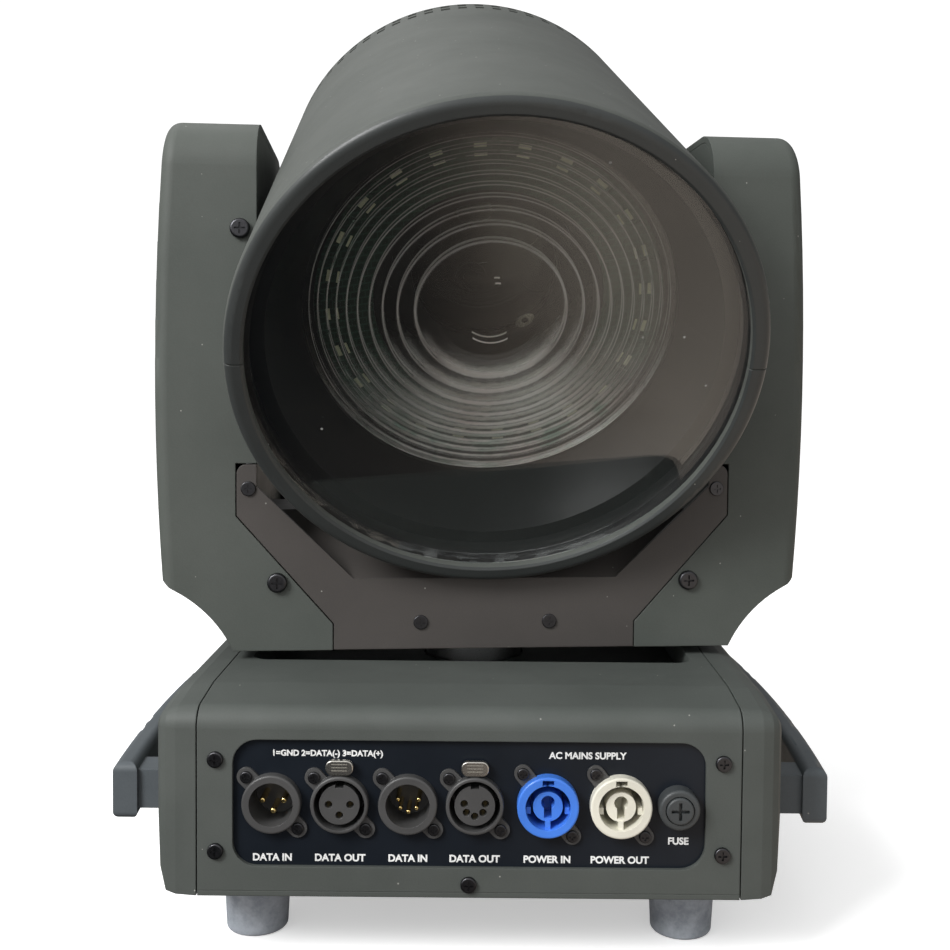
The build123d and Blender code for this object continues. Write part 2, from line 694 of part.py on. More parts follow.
# ---- Head casing ----
def head_radius(y):
    along = (y - HEAD_FRONT) / (HEAD_BACK - HEAD_FRONT)
    return HEAD_FRONT_R + along * (HEAD_BACK_R - HEAD_FRONT_R)


def head_plan(inset):
    """The head seen from above: full width at the lens, flat sides between the arms."""
    flat = FLAT_X - inset
    right = [(110, -150), (110, -120), (flat, -98), (flat, 70)]
    points = right + [(-x, y) for x, y in reversed(right)]
    return prism_z(polygon(points), -120, 120)


def head_casing():
    front = HEAD_FRONT
    lip_back = front + 4.0
    outer = [
        Line((LIP_R + 1, front), (HEAD_FRONT_R - 4, front)),
        ThreePointArc((HEAD_FRONT_R - 4, front), (HEAD_FRONT_R - 1.2, front + 1.2),
                      (head_radius(front + 4), front + 4)),
        Line((head_radius(front + 4), front + 4), (HEAD_BACK_R, HEAD_BACK)),
        ThreePointArc((HEAD_BACK_R, HEAD_BACK), (91.6, 59.2), (HEAD_REAR_R, HEAD_REAR)),
    ]
    inner = [(HEAD_REAR_R, HEAD_REAR), (HEAD_REAR_R - 3, HEAD_REAR),
             (HEAD_REAR_R - 3, 59.5), (HEAD_BACK_R - 3.4, 51),
             (head_radius(lip_back) - 3.3, lip_back), (LIP_R, lip_back), (LIP_R, front + 1)]
    edges = outer + [Line(a, b) for a, b in zip(inner[:-1], inner[1:])]
    edges.append(Line((LIP_R, front + 1), (LIP_R + 1, front)))
    skin = revolve(make_face(Wire(edges)), axis=Axis.Y)
    hollow = turned_y([(0, lip_back)] + [(r, y) for r, y in reversed(inner[1:5])] + [(0, HEAD_REAR)])
    solid = (skin + hollow) & head_plan(0)
    casing = solid - (hollow & head_plan(WALL)) - cyl_y(0, front - 1, lip_back + 1, 0, LIP_R)
    return casing - cyl_x(-BIG, BIG, 0, 0, TRUNNION_R + 2)


def vents(casing, side):
    """Two rows of small square vents near the back, on the side +1 (top) or -1 (bottom)."""
    cuts = []
    for y in (44.0, 51.0):
        for step in range(-12, 13):
            place = Rot(0, step * 5.0, 0) * Pos(0, y, side * HEAD_BACK_R)
            cuts.append(place * Box(4.2, 4.2, 14))
    return casing - cuts


def head_shell(casing, side):
    z0, z1 = sorted((side * SPLIT_GAP, side * 120))
    return vents(casing & box(-120, 120, -150, 70, z0, z1), side)


def rear_cap():
    outside = [(0, CAP_BACK), (66, CAP_BACK), (72, 91.5), (78, 78), (HEAD_REAR_R, HEAD_REAR + 2)]
    spigot = [(HEAD_REAR_R, HEAD_REAR), (HEAD_REAR_R - 3.3, HEAD_REAR), (HEAD_REAR_R - 3.3, 59.7)]
    spigot += [(HEAD_REAR_R - 6.5, 59.7), (HEAD_REAR_R - 6.5, 64)]
    inside = [(75, 77), (69.4, 90), (65, 91.5), (0, 91.5)]
    cap = turned_y(outside + spigot + inside)
    slots = []
    for row in range(-6, 7):
        z = row * 7.5
        half = math.sqrt(52.0 ** 2 - z ** 2)
        slots.append(box(-half, half, 90, 96, z - 1.8, z + 1.8))
    cap = cap - slots
    for x in (-18, 18):
        cap = cap + box(x - 1.2, x + 1.2, 91.5, 93.8, -50, 50)
    for angle in (45, 135, 225, 315):
        cap = cap - Rot(0, angle, 0) * Pos(0, 93, CAP_SCREW_R) * Rot(90, 0, 0) * Cylinder(1.6, 8)
    return cap


def head_screws():
    screws = []
    for angle in (45, 135, 225, 315):
        screws.append(Rot(0, angle, 0) * screw_y(0, CAP_BACK, CAP_SCREW_R, 3.2, 1.6, 1.5, 8.0, 1))
    return screws


def front_glass():
    arc = ThreePointArc((0, -139.6), (50, -139.2), (GLASS_R - 0.2, -137.9))
    rim, back, middle = (GLASS_R - 0.2, -137.9), (GLASS_R - 0.2, -134), (0, -134)
    edges = [arc, Line(rim, back), Line(back, middle), Line(middle, (0, -139.6))]
    return revolve(make_face(Wire(edges)), axis=Axis.Y)


def glass_seal():
    outside = [(GLASS_R, -137.9), (102.9, -137.9), (102.9, -132.4)]
    return turned_y(outside + [(97.5, -132.4), (97.5, -134), (GLASS_R, -134)])


def lens_barrel():
    return turned_y([
        (98.8, -132.2), (102.4, -132.2), (102.4, -122), (85, -86), (75, -86), (75, LENS_BACK),
        (LENS_R + 0.2, LENS_BACK), (LENS_R + 0.2, -95.4), (92.5, -124), (98.8, -124)])


def fresnel_lens():
    """The stepped lens: a domed centre, then rings of sloping facets of equal area."""
    top = LENS_FRONT - GROOVE
    points = []
    for zone in range(1, LENS_ZONES):
        inner = ZONE_R * math.sqrt(zone)
        outer = ZONE_R * math.sqrt(zone + 1)
        points += [(inner, LENS_FRONT), (inner + 0.3, top), (outer, LENS_FRONT)]
    points += [(LENS_R, LENS_FRONT), (LENS_R, LENS_BACK), (0, LENS_BACK)]
    unique = [points[0]]
    for point in points[1:]:
        if point != unique[-1]:
            unique.append(point)
    edges = [ThreePointArc((0, top - 1), (ZONE_R * 0.6, top - 0.4), unique[0])]
    edges += [Line(a, b) for a, b in zip(unique[:-1], unique[1:])]
    edges.append(Line((0, LENS_BACK), (0, top - 1)))
    return revolve(make_face(Wire(edges)), axis=Axis.Y)


# ---- Inside the head ----
def head_chassis():
    front = cyl_y(0, -80, -77, 0, 86) - cyl_y(0, -90, -70, 0, 46)
    rear = cyl_y(0, 40, 43, 0, 82) - cyl_y(0, 30, 50, 0, 15)
    chassis = front + rear
    for plate in both_sides(box(80, 83, -78.5, 41.5, -30, 30)):
        chassis = chassis + plate
    chassis = chassis + cyl_x(81, 110, 0, 0, TRUNNION_R) + cyl_x(-117, -81, 0, 0, TRUNNION_R)
    chassis = chassis - cyl_x(-BIG, BIG, 0, 0, 8)
    for x in (-ROD_X, ROD_X):
        chassis = chassis + cyl_y(x, -78.5, 41.5, 0, 3)
    return chassis + cyl_y(0, 19, 41, GOBO_Z, 4)


def ring_board():
    board = tube_y(0, -81.6, -80, 0, 78, 50)
    for step in range(LED_COUNT):
        led = Rot(0, step * 360 / LED_COUNT, 0) * Pos(0, -82.0, LED_CIRCLE_R) * Box(5, 0.9, 5)
        board = board + led
    return board


def focus_carriage():
    carriage = tube_y(0, -52, -44, 0, 42, 33)
    for side in (-1, 1):
        arm = box(min(side * 38, side * 62), max(side * 38, side * 62), -50, -46, -6, 6)
        carriage = carriage + (arm - cyl_y(0, -60, -40, 0, 34)) + cyl_y(side * ROD_X, -52, -44, 0, 7)
    for side in (-1, 1):
        carriage = carriage - cyl_y(side * ROD_X, -60, -40, 0, 3 + CLEAR)
    return carriage


def focus_lens():
    """A biconvex lens: the common part of two balls and a cylinder."""
    bulge = 5.0
    r = 32.9
    ball_r = (r * r + bulge * bulge) / (2 * bulge)
    lens = cyl_y(0, -60, -40, 0, r)
    lens = lens & (Pos(0, -50 - bulge + ball_r, 0) * Sphere(ball_r))
    return lens & (Pos(0, -46 + bulge - ball_r, 0) * Sphere(ball_r))


def gobo_wheel():
    wheel = tube_y(0, 22, 23.2, 0, 46, 4 + CLEAR) + tube_y(0, 20, 28, 0, 8, 4 + CLEAR)
    for step in range(8):
        angle = math.radians(step * 45)
        wheel = wheel - cyl_y(36 * math.sin(angle), 10, 30, 36 * math.cos(angle), 9)
    return Pos(0, 0, GOBO_Z) * wheel


def lamp_module():
    module = cyl_y(0, 43, 48, 0, 62) + cyl_y(0, 41, 43, 0, 14)
    fins = [box(-62, 62, 47, 70, z - 1, z + 1) for z in range(-55, 56, 10)]
    core = cyl_y(0, 47, 70, 0, 20)
    return module + (join(fins) & cyl_y(0, 40, 72, 0, 62)) + core


def fan_frame():
    frame = plate_y(0, 0, 80, 80, 5, 70, 88) - cyl_y(0, 60, 95, 0, 38.5)
    frame = frame + cyl_y(0, 70, 73.5, 0, 12) + cyl_y(0, 73, 86, 0, 2)
    for angle in (45, 135):
        spoke = Rot(0, angle, 0) * box(-40, 40, 70, 72, -1.5, 1.5)
        frame = frame + spoke
    return frame


def fan_rotor():
    rotor = tube_y(0, 74, 87, 0, 13, 2 + CLEAR)
    blade = Pos(23.5, 80.5, 0) * Rot(35, 0, 0) * Box(25, 1.4, 15)
    for step in range(7):
        rotor = rotor + Rot(0, step * 360 / 7, 0) * blade
    return rotor


def make_base():
    save("base_tray", base_tray())
    save("base_top_cover", base_top_cover())
    right_cap, left_cap = both_sides(end_cap())
    save("right_end_cap", right_cap)
    save("left_end_cap", left_cap)
    right_handle, left_handle = both_sides(handle())
    save("right_handle", right_handle)
    save("left_handle", left_handle)
    save("rubber_feet", [rubber_foot(x, y) for x in (-FOOT_X, FOOT_X) for y in (-FOOT_Y, FOOT_Y)])
    save("base_screws", base_screws())
    save("power_supply", power_supply())
    save("main_board", main_board())
    save("pan_pulley", pan_pulley())


def make_front_panel():
    save("connector_plate", connector_plate())
    save("data_inlets", [data_inlet(DATA_IN_3PIN_X), data_inlet(DATA_IN_5PIN_X)])
    save("data_outlets", [data_outlet(DATA_OUT_3PIN_X, 3), data_outlet(DATA_OUT_5PIN_X, 5)])
    save("power_inlet", power_connector(POWER_IN_X))
    save("power_outlet", power_connector(POWER_OUT_X))
    save("connector_contacts", connector_contacts())
    save("connector_screws", connector_screws())
    save("release_tab_3pin", release_tab(DATA_OUT_3PIN_X))
    save("release_tab_5pin", release_tab(DATA_OUT_5PIN_X))
    save("fuse_holder", fuse_holder())
    save("fuse_cap", fuse_cap())


def make_rear_panel():
    save("display_bezel", display_bezel())
    save("display_window", display_window())
    for number, (x, dz) in enumerate(button_places(), start=1):
        save(f"menu_button_{number}", menu_button(x, dz))


def make_yoke():
    right_shell, left_shell = both_sides(arm_shell())
    save("right_arm_shell", right_shell, YOKE)
    save("left_arm_shell", left_shell, YOKE)
    right_cover, left_cover = both_sides(arm_inner_cover())
    save("right_arm_inner_cover", right_cover, YOKE)
    save("left_arm_inner_cover", left_cover, YOKE)
    panel = yoke_panel()
    save("yoke_front_panel", panel, YOKE)
    save("yoke_rear_panel", mirror(panel, Plane.XZ), YOKE)
    save("yoke_frame", yoke_frame(), YOKE)
    save("yoke_bearings", yoke_bearings(), YOKE)
    save("yoke_screws", yoke_screws(), YOKE)
    save("pan_motor", pan_motor(), YOKE)
    save("pan_motor_pulley", Pos(PAN_MOTOR_X, 0, 0) * motor_pulley(111.5, 120.5), YOKE)
    save("pan_belt", belt(PAN_R, MOTOR_R, PAN_MOTOR_X, 111.8, 120.2), YOKE)
    save("tilt_motor", tilt_motor(), YOKE)
    z = PIVOT_Z - TILT_CENTRES
    small = Pos(TILT_PULLEY_X, 0, z) * Rot(0, 90, 0) * motor_pulley(-TILT_PULLEY_HALF, TILT_PULLEY_HALF)
    save("tilt_motor_pulley", small, YOKE)
    save("tilt_belt", tilt_belt(), YOKE)


def make_head():
    casing = head_casing()
    save("head_upper_shell", head_shell(casing, 1), HEAD)
    save("head_lower_shell", head_shell(casing, -1), HEAD)
    save("rear_cap", rear_cap(), HEAD)
    save("head_screws", head_screws(), HEAD)
    save("front_glass", front_glass(), HEAD)
    save("glass_seal", glass_seal(), HEAD)
    save("lens_barrel", lens_barrel(), HEAD)
    save("fresnel_lens", fresnel_lens(), HEAD)
    save("ring_board", ring_board(), HEAD)
    save("head_chassis", head_chassis(), HEAD)
    save("tilt_pulley", tilt_pulley(), HEAD)
    save("focus_carriage", focus_carriage(), HEAD)
    save("focus_lens", focus_lens(), HEAD)
    save("gobo_wheel", gobo_wheel(), HEAD)
    save("lamp_module", lamp_module(), HEAD)
    save("fan_frame", fan_frame(), HEAD)
    save("fan_rotor", fan_rotor(), HEAD)


os.makedirs("parts", exist_ok=True)
make_base()
make_front_panel()
make_rear_panel()
make_yoke()
make_head()
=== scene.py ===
"""Looks of the moving head light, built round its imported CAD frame. Metres, +Z up."""
import json
import math

import bmesh
import bpy
from mathutils import Matrix, Vector


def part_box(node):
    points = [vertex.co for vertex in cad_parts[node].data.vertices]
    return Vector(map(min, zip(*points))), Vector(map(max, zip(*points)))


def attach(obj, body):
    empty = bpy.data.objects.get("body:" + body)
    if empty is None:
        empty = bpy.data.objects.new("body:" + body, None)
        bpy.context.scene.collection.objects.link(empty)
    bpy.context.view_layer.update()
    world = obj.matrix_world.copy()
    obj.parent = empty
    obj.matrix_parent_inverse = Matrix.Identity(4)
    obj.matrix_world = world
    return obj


MM = 0.001

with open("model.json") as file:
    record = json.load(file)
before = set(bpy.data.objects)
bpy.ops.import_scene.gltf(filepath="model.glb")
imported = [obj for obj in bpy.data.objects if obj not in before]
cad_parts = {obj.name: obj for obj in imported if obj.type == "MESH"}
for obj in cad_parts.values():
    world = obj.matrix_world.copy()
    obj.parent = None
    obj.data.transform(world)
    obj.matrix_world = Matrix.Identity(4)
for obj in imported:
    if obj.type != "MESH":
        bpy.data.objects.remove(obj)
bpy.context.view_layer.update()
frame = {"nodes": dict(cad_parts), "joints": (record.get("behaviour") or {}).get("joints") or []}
nodes = frame["nodes"]
joints = {joint["name"]: joint for joint in frame["joints"]}


# ---- The head's frame at rest, from the joints, and the pan axis ----
def frame_matrix(x_axis, y_axis, origin):
    """A matrix whose columns are the axes of a right-handed frame at origin."""
    z_axis = x_axis.cross(y_axis)
    matrix = Matrix((x_axis, y_axis, z_axis)).transposed().to_4x4()
    matrix.translation = origin
    return matrix


across = -Vector(joints["tilt"]["axis"]).normalized()
pivot = Vector(joints["tilt"]["pos_m"])
pan_axis = Vector(joints["pan"]["pos_m"])
HEAD = frame_matrix(across, Vector(joints["focus_slide"]["axis"]).normalized(), pivot)


# ---- Materials ----
class Material:
    """A node material with helpers. Textures use object coordinates, which are metres in the row frame."""

    def __init__(self, name):
        self.material = bpy.data.materials.new(name)
        self.material.use_nodes = True
        self.tree = self.material.node_tree
        self.shader = self.tree.nodes["Principled BSDF"]
        self.output = self.tree.nodes["Material Output"]
        self.coordinates = self.tree.nodes.new("ShaderNodeTexCoord").outputs["Object"]

    def set(self, **values):
        for name, value in values.items():
            self.shader.inputs[name.replace("_", " ").title().replace("Ior", "IOR")].default_value = value
        return self

    def node(self, kind, **values):
        node = self.tree.nodes.new("ShaderNode" + kind)
        for name, value in values.items():
            if name in node.inputs:
                node.inputs[name].default_value = value
            else:
                setattr(node, name, value)
        return node

    def link(self, source, target):
        self.tree.links.new(source, target)

    def noise(self, size, detail=3.0, roughness=0.6, stretch=None):
        """Noise whose features are about size metres across."""
        noise = self.node("TexNoise", Scale=1.0 / size, Detail=detail, Roughness=roughness)
        source = self.coordinates
        if stretch is not None:
            mapping = self.node("Mapping")
            mapping.inputs["Scale"].default_value = stretch
            self.link(source, mapping.inputs["Vector"])
            source = mapping.outputs["Vector"]
        self.link(source, noise.inputs["Vector"])
        return noise.outputs["Fac"]

    def ramp(self, factor, stops, mode="LINEAR"):
        """Colours or grey levels along a factor, as (position, value) pairs."""
        ramp = self.node("ValToRGB")
        ramp.color_ramp.interpolation = mode
        elements = ramp.color_ramp.elements
        while len(elements) < len(stops):
            elements.new(0.5)
        for element, (position, value) in zip(elements, stops):
            element.position = position
            grey = (value, value, value)
            element.color = (*(grey if isinstance(value, (int, float)) else value), 1.0)
        self.link(factor, ramp.inputs["Fac"])
        return ramp.outputs["Color"]

    def mix(self, factor, a, b, blend="MIX"):
        mix = self.node("Mix", data_type="RGBA", blend_type=blend)
        for socket, value in ((mix.inputs["Factor"], factor), (mix.inputs[6], a), (mix.inputs[7], b)):
            if isinstance(value, bpy.types.NodeSocket):
                self.link(value, socket)
            elif isinstance(value, (int, float)):
                socket.default_value = value
            else:
                socket.default_value = (*value, 1.0)
        return mix.outputs[2]

    def math(self, operation, a, b=0.5):
        math_node = self.node("Math", operation=operation)
        for socket, value in zip(math_node.inputs, (a, b)):
            if isinstance(value, bpy.types.NodeSocket):
                self.link(value, socket)
            else:
                socket.default_value = value
        return math_node.outputs["Value"]

    def color(self, source):
        self.link(source, self.shader.inputs["Base Color"])
        return self

    def rough(self, factor, low, high):
        spread = self.node("MapRange")
        spread.inputs["To Min"].default_value = low
        spread.inputs["To Max"].default_value = high
        self.link(factor, spread.inputs["Value"])
        self.link(spread.outputs["Result"], self.shader.inputs["Roughness"])
        return self

    def bump(self, height, depth, strength=1.0, under=None):
        bump = self.node("Bump", Strength=strength, Distance=depth)
        self.link(height, bump.inputs["Height"])
        if under is not None:
            self.link(under, bump.inputs["Normal"])
        self.link(bump.outputs["Normal"], self.shader.inputs["Normal"])
        return bump.outputs["Normal"]

    def round_edges(self, radius):
        """Soft light along the casing's edges, for the bump to sit on."""
        return self.node("Bevel", Radius=radius, samples=4).outputs["Normal"]

    def along(self, origin, direction):
        """How far a point lies from an origin along a direction, in metres."""
        away = self.node("VectorMath", operation="SUBTRACT")
        self.link(self.coordinates, away.inputs[0])
        away.inputs[1].default_value = origin
        dot = self.node("VectorMath", operation="DOT_PRODUCT")
        self.link(away.outputs["Vector"], dot.inputs[0])
        dot.inputs[1].default_value = direction
        return dot.outputs["Value"]

    def dome_glint(self, side, rise):
        """A mask of two short painted highlight arcs, glints on the lens's domed centre, one low and one high
        up.
        """
        total = None
        for x, z, reach, width in ((0.0, -0.0005, 0.0135, 0.0075), (0.002, 0.0015, 0.0125, 0.0012)):
            off_side = self.math("SUBTRACT", side, x)
            off_rise = self.math("SUBTRACT", rise, z)
            square = self.math("ADD", self.math("MULTIPLY", off_side, off_side),
                               self.math("MULTIPLY", off_rise, off_rise))
            off = self.math("ABSOLUTE", self.math("SUBTRACT", self.math("SQRT", square), reach))
            thin = self.ramp(self.math("MULTIPLY", off, 1000.0), [(0.25, 0.85), (0.5, 0.0)])
            near = self.math("LESS_THAN", self.math("ABSOLUTE", off_side), width)
            half = self.math("LESS_THAN" if z < 0 else "GREATER_THAN", off_rise, 0.0)
            glint = self.math("MULTIPLY", thin, self.math("MULTIPLY", near, half))
            total = glint if total is None else self.math("ADD", total, glint)
        return total

    def specks(self, pitch, share):
        """A mask of small scattered specks, one in some of the cells of a grid of pitch metres."""
        cells = self.node("TexVoronoi", Scale=1.0 / pitch)
        self.link(self.coordinates, cells.inputs["Vector"])
        near = self.math("LESS_THAN", cells.outputs["Distance"], 0.11)
        split = self.node("SeparateColor")
        self.link(cells.outputs["Color"], split.inputs["Color"])
        chosen = self.math("LESS_THAN", split.outputs["Red"], share)
        return self.math("MULTIPLY", near, chosen)


def coated(name, dark, light, grain=0.0007, depth=0.00007, dust=0.02, low=0.5, high=0.68):
    """Painted or moulded casing: a fine pebbled grain, faint cloudiness, and a few specks of dust."""
    m = Material(name).set(specular_ior_level=0.35)
    clouds = m.noise(0.06, 4.0)
    base = m.ramp(clouds, [(0.3, dark), (0.72, light)])
    fine = m.noise(grain, 2.0, 0.5)
    base = m.mix(m.math("MULTIPLY", fine, 0.22), base, tuple(c * 1.5 for c in light))
    base = m.mix(m.math("MULTIPLY", m.specks(0.003, dust * 1.6), 0.6), base, (0.42, 0.41, 0.38))
    m.color(base)
    m.rough(m.noise(0.02, 3.0), low, high)
    m.bump(fine, depth, 0.55, m.round_edges(0.0006))
    return m.material


def plain_plastic(name, colour, low=0.3, high=0.45, grain=0.0006, depth=0.00003, dust=0.0, shine=0.45):
    m = Material(name).set(specular_ior_level=shine)
    dark = tuple(c * 0.85 for c in colour)
    light = tuple(min(1, c * 1.12) for c in colour)
    shade = m.ramp(m.noise(0.03, 3.0), [(0.3, dark), (0.7, light)])
    if dust:
        shade = m.mix(m.math("MULTIPLY", m.specks(0.0035, dust), 0.6), shade, (0.4, 0.4, 0.4))
    m.color(shade)
    m.rough(m.noise(0.012, 4.0), low, high)
    m.bump(m.noise(grain, 2.0), depth, 0.4, m.round_edges(0.0003))
    return m.material


def bare_metal(name, colour, low=0.22, high=0.42, stretch=(1, 1, 12), grain=0.0009):
    """Machined or brushed metal, with fine lines along one direction."""
    m = Material(name).set(metallic=1.0)
    lines = m.noise(grain, 4.0, 0.7, stretch)
    m.color(m.ramp(lines, [(0.25, tuple(c * 0.72 for c in colour)), (0.75, colour)]))
    m.rough(lines, low, high)
    m.bump(lines, 0.00003, 0.3)
    return m.material


def glass(name, tint, gloss, roughness=0.0, dust=0.02):
    """Clear glass: mostly seen through, with a mirror layer stronger at grazing angles, and a little dust."""
    m = Material(name)
    clear = m.node("BsdfTransparent")
    clear.inputs["Color"].default_value = (*tint, 1.0)
    facing = m.node("Fresnel", IOR=gloss)
    m.color(m.ramp(m.noise(0.1), [(0.3, (0.9, 0.92, 0.92)), (0.7, (1.0, 1.0, 1.0))]))
    m.set(metallic=1.0)
    m.rough(m.noise(0.05, 3.0), roughness, roughness + 0.03)
    mirror = m.node("MixShader")
    m.link(facing.outputs["Fac"], mirror.inputs[0])
    m.link(clear.outputs["BSDF"], mirror.inputs[1])
    m.link(m.shader.outputs["BSDF"], mirror.inputs[2])
    if dust:
        grain = m.node("BsdfDiffuse")
        grain.inputs["Color"].default_value = (0.6, 0.6, 0.58, 1.0)
        specked = m.node("MixShader")
        m.link(m.math("MULTIPLY", m.specks(0.0055, dust), 0.5), specked.inputs[0])
        m.link(mirror.outputs["Shader"], specked.inputs[1])
        m.link(grain.outputs["BSDF"], specked.inputs[2])
        mirror = specked
    m.link(mirror.outputs["Shader"], m.output.inputs["Surface"])
    return m.material


def stepped_glass(name):
    """A stepped lens: rings of equal area with a painted highlight, brighter low down, with fine lines
    between them and two painted glints on the domed centre.

    The brightness is a painted highlight, a colour laid on the glass, so it stays with the lens when the
    light changes.
    """
    m = Material(name).set(specular_ior_level=0.6)
    m.rough(m.noise(0.003), 0.25, 0.45)
    side = m.along(HEAD @ Vector((0, 0, 0)), HEAD.to_3x3() @ Vector((1, 0, 0)))
    rise = m.along(HEAD @ Vector((0, 0, 0)), HEAD.to_3x3() @ Vector((0, 0, 1)))
    radius = m.math("SQRT", m.math("ADD", m.math("MULTIPLY", side, side), m.math("MULTIPLY", rise, rise)))
    wobble = m.math("MULTIPLY", m.noise(0.004, 4.0, 0.7), 0.22)
    rings = m.math("POWER", m.math("DIVIDE", radius, LENS_ZONE), 2.0)
    place = m.math("FRACT", rings)
    # Painted highlight: each ring is brightest low on the lens and a little to one side, as if its facets
    # caught the light there.
    low = m.math("DIVIDE", m.math("MULTIPLY", rise, -1.0), radius)
    toward_painted_light = m.math("ADD", low, m.math("MULTIPLY", m.math("DIVIDE", side, radius), 0.12))
    band = m.ramp(m.math("ADD", place, m.math("SUBTRACT", wobble, 0.11)),
                  [(0.0, 0.12), (0.3, 0.0), (0.5, 0.2), (0.68, 0.95), (0.9, 0.8), (1.0, 0.15)])
    painted_ring_highlight = m.math("MULTIPLY", band, m.ramp(toward_painted_light, [(0.2, 0.0), (0.6, 0.25), (0.88, 0.9), (1.0, 1.0)]))
    line = m.math("MULTIPLY", m.ramp(place, [(0.82, 0.0), (0.9, 1.0), (0.98, 1.0), (1.0, 0.2)]), 0.3)
    whole = m.math("GREATER_THAN", rings, 1.0)
    # Painted glints: two short highlight arcs on the domed centre.
    painted_dome_glints = m.math("MULTIPLY", m.math("SUBTRACT", 1.0, whole), m.dome_glint(side, rise))
    # How much of the glass shows the painted highlight colour instead of clear glass and mirror.
    share = m.math("ADD", m.math("MULTIPLY", m.math("MAXIMUM", painted_ring_highlight, line), whole), painted_dome_glints)
    # The painted highlight's colour: near white, with green patches on the outer rings.
    warm = m.ramp(m.noise(0.03, 3.0), [(0.35, (0.95, 0.86, 0.83)), (0.6, (1.0, 1.0, 0.97))])
    outer = m.ramp(m.math("DIVIDE", rings, 12.0), [(0.55, 0.0), (0.75, 0.8), (0.9, 0.3)])
    patches = m.ramp(m.noise(0.014, 2.0), [(0.48, 0.0), (0.62, 1.0)])
    m.color(m.mix(m.math("MULTIPLY", outer, patches), warm, (0.3, 0.52, 0.42)))
    clear = m.node("BsdfTransparent")
    clear.inputs["Color"].default_value = (0.9, 0.92, 0.9, 1.0)
    mirror = m.node("BsdfGlossy")
    mirror.inputs["Roughness"].default_value = 0.06
    coat = m.node("MixShader")
    m.link(m.node("Fresnel", IOR=1.35).outputs["Fac"], coat.inputs[0])
    m.link(clear.outputs["BSDF"], coat.inputs[1])
    m.link(mirror.outputs["BSDF"], coat.inputs[2])
    mixed = m.node("MixShader")
    m.link(share, mixed.inputs[0])
    m.link(coat.outputs["Shader"], mixed.inputs[1])
    m.link(m.shader.outputs["BSDF"], mixed.inputs[2])
    m.link(mixed.outputs["Shader"], m.output.inputs["Surface"])
    return m.material


def rubber(name, colour, worn):
    m = Material(name).set(specular_ior_level=0.25)
    m.color(m.ramp(m.noise(0.009, 6.0, 0.7), [(0.35, colour), (0.72, worn)]))
    m.rough(m.noise(0.004, 3.0), 0.68, 0.9)
    m.bump(m.noise(0.0012, 4.0), 0.0001, 0.6)
    return m.material


def circuit_board():
    m = Material("solder_mask_green").set(specular_ior_level=0.5)
    tracks = m.node("TexBrick", Scale=160.0, offset=0.5)
    tracks.inputs["Mortar Size"].default_value = 0.03
    tracks.inputs["Color1"].default_value = (0.006, 0.03, 0.018, 1)
    tracks.inputs["Color2"].default_value = (0.008, 0.038, 0.022, 1)
    tracks.inputs["Mortar"].default_value = (0.02, 0.07, 0.045, 1)
    m.link(m.coordinates, tracks.inputs["Vector"])
    m.color(tracks.outputs["Color"])
    m.rough(m.noise(0.003), 0.25, 0.45)
    m.bump(tracks.outputs["Fac"], 0.00005, 0.4)
    return m.material


def screen():
    m = Material("menu_screen").set(specular_ior_level=0.6)
    lines = m.node("TexWave", Scale=900.0, bands_direction="Z")
    m.link(m.coordinates, lines.inputs["Vector"])
    m.color(m.ramp(lines.outputs["Fac"], [(0.2, (0.006, 0.02, 0.07)), (0.8, (0.009, 0.03, 0.1))]))
    m.rough(m.noise(0.02), 0.06, 0.14)
    return m.material


LENS_ZONE = 0.0232          # metres: the radius of the stepped lens's domed centre
CLIP_PLACE = (20.0, -24.0)  # millimetres across and up from the light axis
CAPITAL_SHARE = 0.72        # the height of a capital as a share of the font's size
PRINT_RISE = 0.02           # millimetres that print stands proud
EAR_REACH = 12.0            # millimetres from a power connector's centre to its ears
RIM_FRONT = 0.13            # metres from the tilt axis: the head's front rim lies past it
RIM_FACING = 0.55           # how squarely a face of the rim faces forward

CASING = coated("casing_dark_grey", (0.052, 0.059, 0.054), (0.072, 0.08, 0.074))
ARM = coated("arm_casing_grey", (0.054, 0.062, 0.055), (0.074, 0.082, 0.074))
HEAD_CASING = coated("head_casing_grey", (0.056, 0.062, 0.056), (0.078, 0.084, 0.077), dust=0.035)
BEZEL = coated("bezel_dark_grey", (0.03, 0.034, 0.034), (0.042, 0.046, 0.045), low=0.3, high=0.42, dust=0.03)
PANEL = coated("yoke_panel_grey", (0.048, 0.044, 0.041), (0.064, 0.058, 0.054), low=0.42, high=0.6)
HANDLE = coated("handle_grey", (0.06, 0.07, 0.078), (0.085, 0.098, 0.106), grain=0.001, low=0.42, high=0.6)
PLATE = plain_plastic("connector_plate_black", (0.008, 0.011, 0.016), 0.24, 0.4, dust=0.02, shine=0.25)
BLACK_METAL = plain_plastic("connector_shell_black", (0.06, 0.06, 0.06), 0.3, 0.5, 0.0004, 0.00004)
BLUE = plain_plastic("power_in_blue", (0.055, 0.2, 0.72), 0.22, 0.36)
CREAM = plain_plastic("power_out_cream", (0.72, 0.7, 0.6), 0.25, 0.4)
FUSE = plain_plastic("fuse_black", (0.045, 0.05, 0.052), 0.35, 0.5)
BLACK = plain_plastic("matt_black_plastic", (0.02, 0.02, 0.021), 0.4, 0.6)
BARREL = plain_plastic("barrel_black", (0.006, 0.006, 0.0065), 0.28, 0.42)
BUTTON = plain_plastic("button_black", (0.025, 0.026, 0.028), 0.35, 0.55)
SCREW = bare_metal("black_oxide_screw", (0.07, 0.07, 0.075), 0.28, 0.45, (1, 1, 1))
STEEL = bare_metal("satin_nickel", (0.62, 0.6, 0.55), 0.2, 0.35, (1, 1, 6), 0.0005)
ALUMINIUM = bare_metal("machined_aluminium", (0.74, 0.75, 0.76), 0.2, 0.4)
DARK_METAL = bare_metal("blackened_steel", (0.03, 0.03, 0.032), 0.35, 0.55)
